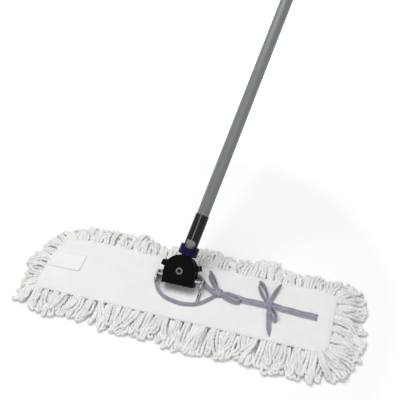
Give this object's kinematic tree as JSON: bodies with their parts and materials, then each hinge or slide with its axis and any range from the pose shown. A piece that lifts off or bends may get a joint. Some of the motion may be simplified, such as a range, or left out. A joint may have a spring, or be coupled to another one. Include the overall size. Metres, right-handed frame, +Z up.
{
  "type": "dust mop",
  "caption": "Flat dust mop: white canvas cover with a looped yarn fringe on a wire frame, and a tube handle on a joint that tilts and swings.",
  "frame": {"origin": "on the floor under the middle of the tilt axle, in the plane of the sole", "axes": "+X along the wire frame towards the taped slit, +Y to the back, +Z up"},
  "size_m": [0.7107, 1.0438, 0.9436],
  "materials": {
    "canvas": "plain woven cotton canvas",
    "yarn": "soft two-ply cotton yarn",
    "tape": "woven grey binding tape",
    "label": "smooth woven label, blank",
    "black_plastic": "moulded black plastic",
    "collar_plastic": "moulded navy plastic",
    "chrome_wire": "bright plated wire",
    "rivet_steel": "plain steel",
    "tube_metal": "satin grey"
  },
  "bodies": {
    "mop_head": {"front_rod": "chrome_wire", "rear_rod": "chrome_wire", "left_end_bow": "chrome_wire", "right_end_bow": "chrome_wire", "left_cross_rod": "chrome_wire", "right_cross_rod": "chrome_wire", "pivot_axle": "chrome_wire", "brace_rod": "chrome_wire", "yarn_pile": "yarn", "base_canvas": "canvas", "cover_canvas": "canvas", "fringe_front": "yarn", "fringe_rear": "yarn", "fringe_left": "yarn", "fringe_right": "yarn", "fringe_corners": "yarn", "binding_front": "tape", "binding_rear": "tape", "slit_strip": "tape", "inner_bow": "tape", "outer_bow": "tape", "label_patch": "label"},
    "hinge_block": {"front_shell": "black_plastic", "rear_shell": "black_plastic", "pivot_rivet": "rivet_steel", "shell_screws": "rivet_steel"},
    "handle": {"swivel_socket": "black_plastic", "handle_tube": "tube_metal", "handle_grip": "black_plastic"},
    "collar": {"lock_collar": "collar_plastic"}
  },
  "joints": [
    {"name": "handle_tilt", "type": "hinge", "parent": "mop_head", "child": "hinge_block", "pos_m": [0, 0, 0.0335], "axis": [1, 0, 0], "range_deg": [-27.4, 116.6]},
    {"name": "handle_swing", "type": "hinge", "parent": "hinge_block", "child": "handle", "pos_m": [0, 0.01053, 0.04418], "axis": [0, 0.712, -0.7022], "range_deg": [-44.2, 23.8]},
    {"name": "collar_slide", "type": "slide", "parent": "handle", "child": "collar", "axis": [0.1771, 0.6911, 0.7008], "range_m": [0, 0.014]}
  ]
}
